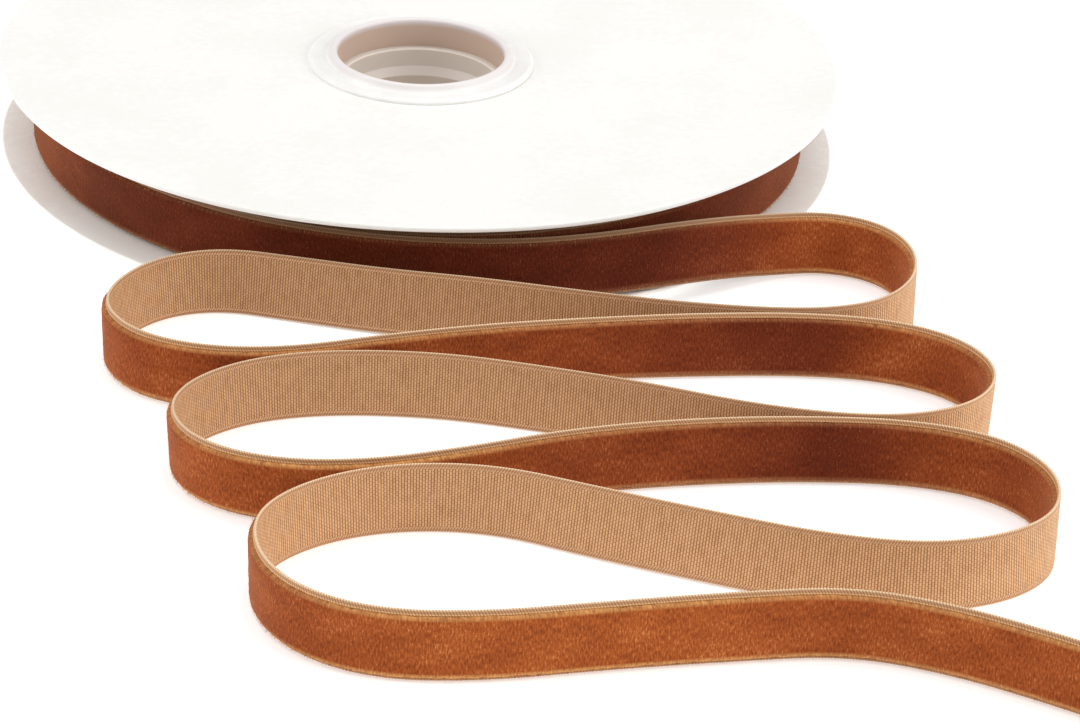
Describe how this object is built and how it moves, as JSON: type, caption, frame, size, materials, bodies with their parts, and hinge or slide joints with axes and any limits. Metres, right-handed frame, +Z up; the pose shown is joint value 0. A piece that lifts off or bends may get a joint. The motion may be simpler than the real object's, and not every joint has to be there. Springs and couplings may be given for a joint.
{
  "type": "ribbon spool",
  "caption": "Flat spool of narrow velvet ribbon: two card discs on a plugged two-piece plastic core, with the ribbon's free end folded back and forth on the table.",
  "frame": {"origin": "on the spool's axis, on the surface that the lower core ring lies on", "axes": "+Z up along the spool's axis, -Y towards the folded free ribbon, +X to the right of it"},
  "size_m": [0.1826, 0.2509, 0.0161],
  "materials": {
    "card": "matt white-lined board",
    "core_plastic": "frosted, moulded",
    "velvet_ribbon": "velvet face, ribbed back",
    "tape": "matt"
  },
  "bodies": {
    "drawn_off_ribbon": {"free_ribbon": "velvet_ribbon"},
    "spool": {"lower_flange": "card", "upper_flange": "card", "lower_core_half": "core_plastic", "upper_core_half": "core_plastic", "wound_ribbon": "velvet_ribbon", "start_tape": "tape"}
  },
  "joints": [
    {"name": "spool_spin", "type": "hinge", "parent": "drawn_off_ribbon", "child": "spool", "pos_m": [0, 0, 0], "axis": [0, 0, 1], "continuous": true}
  ]
}
